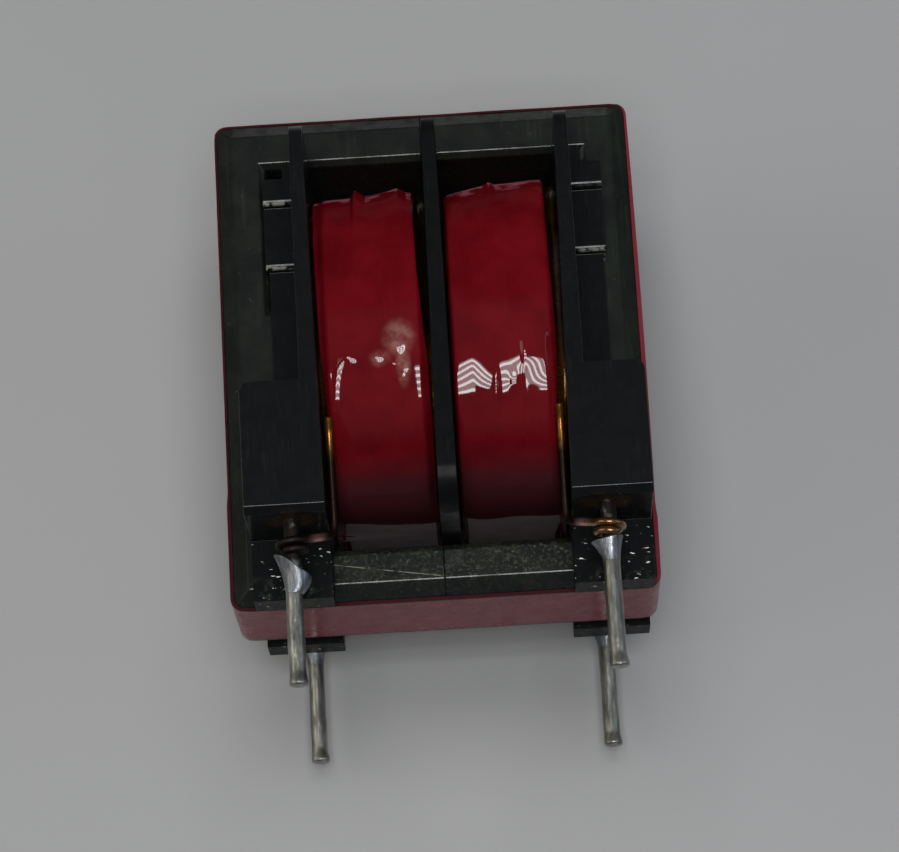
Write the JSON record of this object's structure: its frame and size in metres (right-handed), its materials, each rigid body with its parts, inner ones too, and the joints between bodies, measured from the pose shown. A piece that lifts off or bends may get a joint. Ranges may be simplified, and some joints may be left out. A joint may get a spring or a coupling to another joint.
{
  "type": "common mode choke",
  "caption": "Through-hole common mode choke: taped ferrite core halves in a flanged black bobbin with side-by-side windings under red tape and tinned pins.",
  "frame": {"origin": "centre of the pin pattern, level with the underside of the feet that stand on the board", "axes": "+X along the winding axis, to the right in the picture; +Y away from the board; +Z towards the camera, through the thickness of the core, so that the part lies on its back"},
  "size_m": [0.0209, 0.0305, 0.0208],
  "materials": {
    "ferrite": "dark grey-green varnished ferrite, scuffed",
    "black_plastic": "glossy black moulded thermoset",
    "red_tape": "glossy red polyester film tape",
    "copper_wire": "enamelled copper",
    "tinned_pin": "hot-tinned wire",
    "solder": "bright solder"
  },
  "bodies": {
    "root": {"core_half_left": "ferrite", "core_half_right": "ferrite", "core_tape": "red_tape", "bobbin": "black_plastic", "winding_left": "copper_wire", "winding_right": "copper_wire", "winding_tape_left": "red_tape", "winding_tape_right": "red_tape", "pin_front_left": "tinned_pin", "pin_front_right": "tinned_pin", "pin_rear_left": "tinned_pin", "pin_rear_right": "tinned_pin", "lead_front_left": "copper_wire", "lead_front_right": "copper_wire", "lead_rear_left": "copper_wire", "lead_rear_right": "copper_wire", "solder_front_left": "solder", "solder_front_right": "solder", "solder_rear_left": "solder", "solder_rear_right": "solder"}
  },
  "joints": []
}
